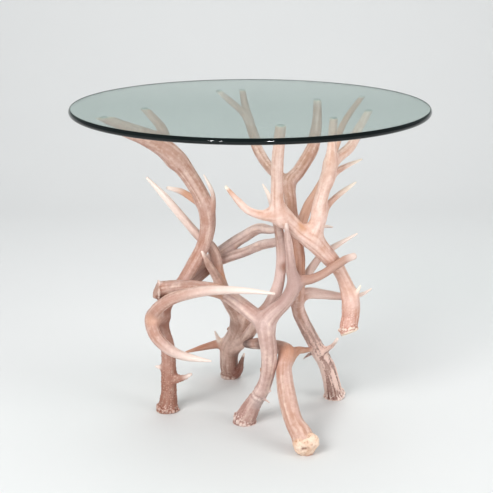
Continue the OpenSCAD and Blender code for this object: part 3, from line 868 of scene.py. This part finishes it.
# %% Right leg
make_antler("right_leg_antler", [
    (30, [[158, 29, -8, 18], [155, 26, 5, 17.4], [147.5, 13, 39, 15.4], [136, 2, 78, 14.8],
          [118, -12, 115, 13.6], [101.5, -28, 150, 12.6], [87, -46, 184, 12.3], [81, -66, 212, 12],
          [80, -84, 239, 12], [82, -86, 268, 10.8], [83, -77, 302, 9.8], [78, -65, 334, 9.6],
          [71, -51, 366, 9.8], [68, -36, 391, 10.6], [66, -18, 412, 12], [82, 0, 428, 11.6],
          [99, 20, 449, 11.6], [111, 37, 470, 11], [117, 55, 500, 8.4], [118, 73, 545, 6.4]]),
    (30, [[66, -22, 408, 11], [50, 4, 420, 10], [33, 30, 431, 9.8], [16, 62, 451, 9.8], [6, 94, 470, 9.1],
          [-3, 130, 492, 8.4], [-10, 163, 517, 7], [-16, 196, 545, 5.4]]),
    (60, [[-1, 122, 488, 7.6], [-18, 140, 505, 6.4], [-43, 162, 523, 5.2], [-73, 186, 546, 4]]),
    (30, [[79, -66, 332, 9], [88, -52, 352, 8.8], [98, -34, 375, 8.6], [115, -14, 398, 8], [130, 8, 421, 7],
          [144, 34, 451, 6.4], [168, 72, 498, 5.6], [210, 114, 545, 4]]),
    (100, [[83, -78, 250, 9.4], [97, -65, 263, 8], [109, -57, 279, 7.4], [123, -51, 295, 6.8],
           [145, -47, 309, 5.2], [182, -49, 332, 1.6]]),
    (90, [[82, -70, 224, 11.4], [100, -59, 229, 10.6], [124, -50, 224, 8.8], [150, -44.5, 219, 7.2],
          [174, -41, 216, 5.4], [194, -44, 222, 3.6], [209, -48, 233, 1.5]]),
    (25, [[124, -8, 98, 9], [138, -23, 113, 5.6], [147, -40, 128, 4], [152, -53, 143, 2.6]]),
    (12, [[118, -10, 108, 8], [108, 6, 92, 4.6], [97, 17, 78, 2]]),
], seed=41, burr_out=3.2, burr_at=12.0, foot_reach=150, bark_reach=270, bark=1.7, pearl=0.4,
    body=(214, 180, 170), mottle=(204, 162, 146), foot_hue=(250, 220, 208), dark=(110, 56, 40),
    pale=(248, 224, 214), foot_share=1.0, crown_share=0.9,
    tints=[((128, -4, 95), 120, (246, 216, 204)), ((84, -84, 292), 60, (188, 136, 110)),
           (5, 30, (232, 206, 196)), (4, 30, (240, 218, 208)), (3, 10, (206, 160, 138)),
           (6, 8, (232, 198, 184))])

# %% [markdown]
# ## Back leg antler
#
# It stands at the rear, leans forward behind the left leg and ends in a long tine, polished nearly white,
# that points free to the left. A small dark red-brown tine clings to its foot.

# %% Back leg
make_antler("back_leg_antler", [
    (190, [[-36, 127, -8, 17.6], [-36.5, 126, 5, 17.2], [-39.5, 119, 36, 17.6], [-36, 105, 72, 17.4],
           [-24, 81, 111, 15.5], [-24, 54, 150, 13.8], [-38, 26, 188, 12.7], [-50, 4, 218, 12.2],
           [-56, -12, 252, 11.2], [-60, -22, 284, 10.2], [-67, -27, 303, 9.2], [-78, -27.5, 313, 8.4],
           [-90, -27, 324, 7.8], [-117, -28, 357, 7.3], [-145, -32, 393, 6.2], [-174, -36, 426, 2.4]]),
    (0, [[-24, 92, 86, 13], [-12, 62, 124, 12.4], [-8, 40, 150, 11.4]]),
    (14, [[-48, 12, 208, 10], [-51, -14, 228, 8.6], [-60, -33, 253, 8], [-71, -48, 277, 6.2],
          [-81, -61, 303, 2.4]]),
    (20, [[-30, 101, 70, 14], [-13, 68, 94, 11.4], [3, 16, 133, 10], [13, -34, 170, 8.8],
          [15, -71.5, 191, 6.2]]),
    (0, [[-33, 106, 70, 12], [-55, 110, 73, 9.3], [-85, 116, 64, 6.4], [-121, 122, 51, 2]]),
    (24, [[-51, 109, 72, 6], [-60, 104, 87, 3.8], [-65, 100, 101, 1.5]]),
    (8, [[-28, 113, 12, 11], [-19, 103, 24, 7.2], [-15.5, 100, 40, 5], [-10.5, 98, 57, 2]]),
], seed=53, burr_out=2.6, burr_at=12.0, foot_reach=80, pearl=0.5, between=0.3, body=(238, 206, 194),
    mottle=(220, 182, 168), foot_hue=(176, 144, 134), brown=(162, 118, 98), crown_share=0.4,
    # Painted light: the first wash lights the beam where it lies in shade, the third the kicker tine. Painted
    # shade: the second wash on the low side tine, the fifth on the inner side of the foot.
    tints=[((-54, -8, 246), 36, (238, 174, 134)), (4, 16, (172, 106, 74)), (5, 4, (250, 232, 214)),
           (6, 4, (110, 42, 20)), ((-14, 92, 50), 34, (96, 54, 40)), ((-20, 62, 130), 30, (156, 112, 92))])

# %% [markdown]
# ## Right high antler
#
# The palest antler hangs its burr free at the right, with the sawn end below. Its broad fork spreads into
# thick upright tines with wide webs, which carry the front of the glass.

# %% Right high antler
make_antler("right_high_antler", [
    (8, [[171, -71, 160, 14.6], [169.5, -68, 166, 15.6], [171, -64, 177, 15.4], [173, -60, 190, 14.8],
          [172, -60, 217, 14], [164, -64, 245, 12.6], [153, -70, 270, 11.8], [140, -77, 290, 13.6],
          [121, -88, 314, 15.4], [101, -98, 336, 16], [81, -107, 352, 13.6], [64, -115, 370, 14],
          [46, -123, 385, 13.6], [19, -130, 386, 8.2], [-4, -134, 395, 6.6], [-21, -134, 412, 5.6],
          [-39, -128, 432, 2.8]]),
    (16, [[50, -120, 380, 13], [44, -130, 410, 11], [43, -143, 446, 10.4], [43, -157, 482, 10.1],
          [45, -171, 510, 9.5], [48, -186, 545, 8.2]]),
    (16, [[104, -96, 344, 15], [112, -100, 368, 12.8], [114, -104, 395, 11.2], [120, -106, 422, 10.6],
          [127, -108, 450, 10.8], [131, -110, 476, 9.8], [132, -112, 504, 7.8], [134, -114, 545, 6.4]]),
    (20, [[130, -108, 466, 9.6], [148, -95, 478, 8.6], [164, -79, 488, 8.4], [182, -58, 512, 7],
          [205, -36, 545, 5.2]]),
    (60, [[116, -103, 380, 9], [129, -93, 394, 6], [144, -80, 405, 5.1], [160, -68, 414, 4.3],
          [177, -56, 423, 1.7]]),
    (50, [[126, -107, 438, 9], [141, -92, 449, 6], [161, -74, 456, 4.4], [186, -54, 462, 1.6]]),
    (20, [[174, -62, 204, 9], [180.5, -67, 226, 4.6], [188, -71, 246, 1.8]]),
], seed=61, crown_count=0, rings=[(5.0, 2.2, 26)], web=0.42, foot_reach=76, pearl=0.8, between=0.5,
    streak=0.34, body=(245, 216, 206), mottle=(232, 196, 180), foot_hue=(246, 210, 198),
    brown=(198, 140, 112), dark=(170, 100, 76), pale=(252, 230, 218), cream=(252, 238, 222),
    cut=(250, 234, 212),
    # Painted shade: the second wash, orange-brown in a crotch of the broad fork.
    tints=[((140, -92, 318), 11, (150, 80, 60)), ((84, -118, 362), 16, (212, 156, 120)),
           ((-38, -128, 430), 24, (208, 146, 112))])

# %% [markdown]
# ## Left cross antler
#
# Its sawn burr sticks out at the left, white along its edge. The beam lies over the left leg, turns behind
# the centre leg and climbs to a small free tip.

# %% Left cross antler
make_antler("left_cross_antler", [
    (60, [[-161.5, -78, 241, 13], [-155.5, -77, 239.5, 16], [-143, -76, 242, 14.2], [-117, -73, 244, 13.2],
          [-86, -75, 243, 12.5], [-58, -75, 239, 12.2], [-31, -77, 227, 12.2], [-5, -81, 207, 12.2],
          [14, -84, 197, 12.4], [31, -82, 211, 11.4], [45, -78, 240, 10.6], [52, -77, 275, 9.7],
          [53, -78, 308, 9.3], [49, -88, 342, 8], [40, -105.5, 381, 6.4], [33, -99, 406, 4.6],
          [21, -88, 427, 1.5]]),
], seed=71, crown_count=0, rings=[(5.5, 2.0, 15)], foot_reach=40, pearl=0.5,
    body=(199, 172, 166), mottle=(184, 150, 140), foot_hue=(190, 146, 130), cut=(186, 148, 132),
    crown_share=0.4,
    # Painted shade: the first wash in the recess under the burr, the fifth where the climbing beam meets the
    # centre leg, partly its own brown. Painted light: the fourth lights the climbing beam, which lies in
    # shade.
    tints=[((-150, -88, 234), 17, (122, 78, 62)), ((-56, -86, 238), 26, (200, 150, 124)),
           ((-158, -78, 255), 13, (255, 246, 242)), ((50, -80, 270), 76, (222, 194, 186)),
           ((57, -84, 284), 14, (150, 104, 84))])

# %% [markdown]
# ## Rear cross antler
#
# It lies behind the left leg and forks into two long prongs that run to the right, grey-pink in the shade.

# %% Rear cross antler
make_antler("rear_cross_antler", [
    (50, [[-135, -28, 220, 12], [-130, -27, 222, 14.4], [-121, -23, 227, 14], [-111, -17, 233, 15],
          [-97, -6, 242, 15], [-80, 4, 254, 14.2], [-64, 10, 268, 13.2], [-46, 7, 270, 9], [-28, 0, 279, 8.8],
          [-8, -11, 289, 8.9], [20, -38, 309, 8.7], [47, -66, 323, 7.8], [70, -48, 333, 6.8],
          [96, -42, 340, 5.4], [122, -44, 344, 3.6], [140, -46, 343, 1.6]]),
    (30, [[-67, 10, 266, 12], [-49, 14, 284, 10.8], [-12, 2, 311.5, 10.6], [14, -18, 332, 9.4],
          [34, -38, 336, 7.6], [46, -42, 335, 5], [58, -40, 326, 2.2]]),
], seed=83, burr_at=5.0, foot_reach=30, pearl=0.4, body=(226, 204, 199), mottle=(210, 182, 174),
    # Painted shade: the dark wash at the root, which lies in shade behind the left leg.
    brown=(164, 128, 114), tints=[((-83, 2, 252), 36, (112, 60, 34))])

# %% [markdown]
# ## The glass
#
# The top is float glass, clear from above and nearly black-green through its rim, because light that gets out
# there has crossed the whole plate. The faces are one material and the rim another, on one closed mesh. Rays
# from the lamps pass straight through the faces, so the antlers stay lit.

# %% Glass top
GLASS_R = (glass_high[0] - glass_low[0]) / 2
GLASS_T = glass_high[2] - glass_low[2]
GLASS_SIDES = 288
EDGE_BULGE = 3.0
EDGE_EASE = 0.7
arc_r = (EDGE_BULGE ** 2 + GLASS_T ** 2 / 4) / (2 * EDGE_BULGE)
half_angle = math.asin((GLASS_T / 2 - EDGE_EASE * 0.3) / arc_r)
arc = np.linspace(-half_angle, half_angle, 15)
rim_r = GLASS_R - arc_r + arc_r * np.cos(arc)
rim_z = glass_low[2] + GLASS_T / 2 + arc_r * np.sin(arc)
glass_profile_r = np.concatenate([[rim_r[0] - EDGE_EASE], rim_r, [rim_r[-1] - EDGE_EASE]])
glass_profile_z = np.concatenate([[glass_low[2]], rim_z, [glass_high[2]]])


def turned(radii, heights, sides, place=(0, 0)):
    """A closed turned shape: the profile carried round a circle, with a flat face at each end."""
    angle = np.arange(sides) * 2 * math.pi / sides
    rings = np.stack([
        place[0] + np.outer(radii, np.cos(angle)), place[1] + np.outer(radii, np.sin(angle)),
        np.outer(heights, np.ones(sides)),
    ], axis=-1)
    walls, first, last = ring_walls(len(radii), sides)
    return rings.reshape(-1, 3), walls + [first[::-1], last]


glass_mesh = joined_mesh("glass_round", [turned(glass_profile_r, glass_profile_z, GLASS_SIDES)])
clear = Tree("clear_glass")
clear_shader = clear.node("ShaderNodeBsdfPrincipled", None, Base_Color=tone(236, 247, 243), Roughness=0.0,
                          IOR=1.5, Specular_IOR_Level=0.16, Transmission_Weight=1.0)
lamp_ray = clear.node("ShaderNodeLightPath", out="Is Shadow Ray")
open_way = clear.node("ShaderNodeBsdfTransparent", None, Color=tone(244, 250, 248))
clear_glass = clear.surface(clear.node("ShaderNodeMixShader", None, lamp_ray, clear_shader, open_way))
edge = Tree("glass_rim")
edge_tint = edge.mix(edge.noise(9.0, 1.0), tone(8, 14, 14), tone(18, 27, 26))
glass_rim = edge.principled(Base_Color=edge_tint, Roughness=0.06, IOR=1.5, Specular_IOR_Level=0.2,
                            Coat_Weight=0.1, Coat_Roughness=0.02)
glass = add_object("glass_round", glass_mesh, clear_glass)
glass_mesh.materials.append(glass_rim)
for face in glass_mesh.polygons:
    is_wall = len(face.vertices) == 4
    face.use_smooth = is_wall
    face.material_index = 1 if is_wall else 0
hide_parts("glass_top")
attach(glass, "glass")
print(f"glass: {2 * GLASS_R:.0f} mm across, {GLASS_T:.0f} thick, {len(glass_mesh.polygons)} faces")

# %% [markdown]
# ## Bumper pads
#
# A clear soft disc on each sawn tip keeps the glass from sliding. Each is turned from a profile with a
# rounded edge, at the place of its solid, which is found by sorting the solid's corners into discs.

# %% Bumper pads
PAD_R = 6.0
PAD_EDGE = 0.8
PAD_FOOT = 0.3
PAD_SIDES = 32
PADS_APART = 13.0
pad_corners = read(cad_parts["bumper_pads"].data.vertices, "co") / MM
pad_middles = []
for corner in pad_corners:
    if all(np.linalg.norm(corner[:2] - middle[:2]) > PADS_APART for middle in pad_middles):
        disc = pad_corners[far_from(pad_corners[:, :2], corner[:2]) < PADS_APART]
        pad_middles.append((disc.min(axis=0) + disc.max(axis=0)) / 2)
pad_t = pads_high[2] - pads_low[2]
round_off = np.linspace(0, math.pi / 2, 6)
pad_r = np.concatenate([[PAD_R - PAD_FOOT, PAD_R], PAD_R - PAD_EDGE + PAD_EDGE * np.cos(round_off)])
pad_z = pads_low[2] + np.concatenate([[0, PAD_FOOT], pad_t - PAD_EDGE + PAD_EDGE * np.sin(round_off)])
pad_mesh = joined_mesh("clear_pads", [turned(pad_r, pad_z, PAD_SIDES, middle[:2]) for middle in pad_middles])
pad_mesh.shade_smooth()
soft = Tree("clear_pad_rubber")
soft_tint = soft.mix(soft.noise(300), tone(222, 228, 224), tone(206, 214, 210))
pad_finish = soft.principled(Base_Color=soft_tint, Roughness=0.28, IOR=1.45, Transmission_Weight=0.55)
pads = add_object("clear_pads", pad_mesh, pad_finish)
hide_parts("bumper_pads")
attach(pads, "antler_base")
print(f"{len(pad_middles)} pads")

# %% [markdown]
# ## Screws and putty
#
# The screws are sunk out of sight, and tinted putty hides their heads. Both keep their measured solids and
# get a dull steel and a matte brown finish.

# %% Screw and putty finishes
steel = Tree("dull_steel")
steel_tint = steel.mix(steel.noise(500), tone(150, 148, 145), tone(118, 115, 112))
steel_finish = steel.principled(Base_Color=steel_tint, Metallic=1.0, Roughness=0.35 + steel.noise(900) * 0.2)
putty = Tree("tinted_putty")
putty_tint = putty.mix(putty.noise(700, 3.0), tone(196, 156, 132), tone(172, 128, 104))
putty_bump = putty.node("ShaderNodeBump", None, Strength=0.4, Distance=0.0005, Height=putty.noise(1200))
putty_finish = putty.principled(Base_Color=putty_tint, Roughness=0.8, Normal=putty_bump)
for node_name, finish in (("joint_screws", steel_finish), ("joint_plugs", putty_finish)):
    node_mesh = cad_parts[node_name].data
    node_mesh.materials.clear()
    node_mesh.materials.append(finish)
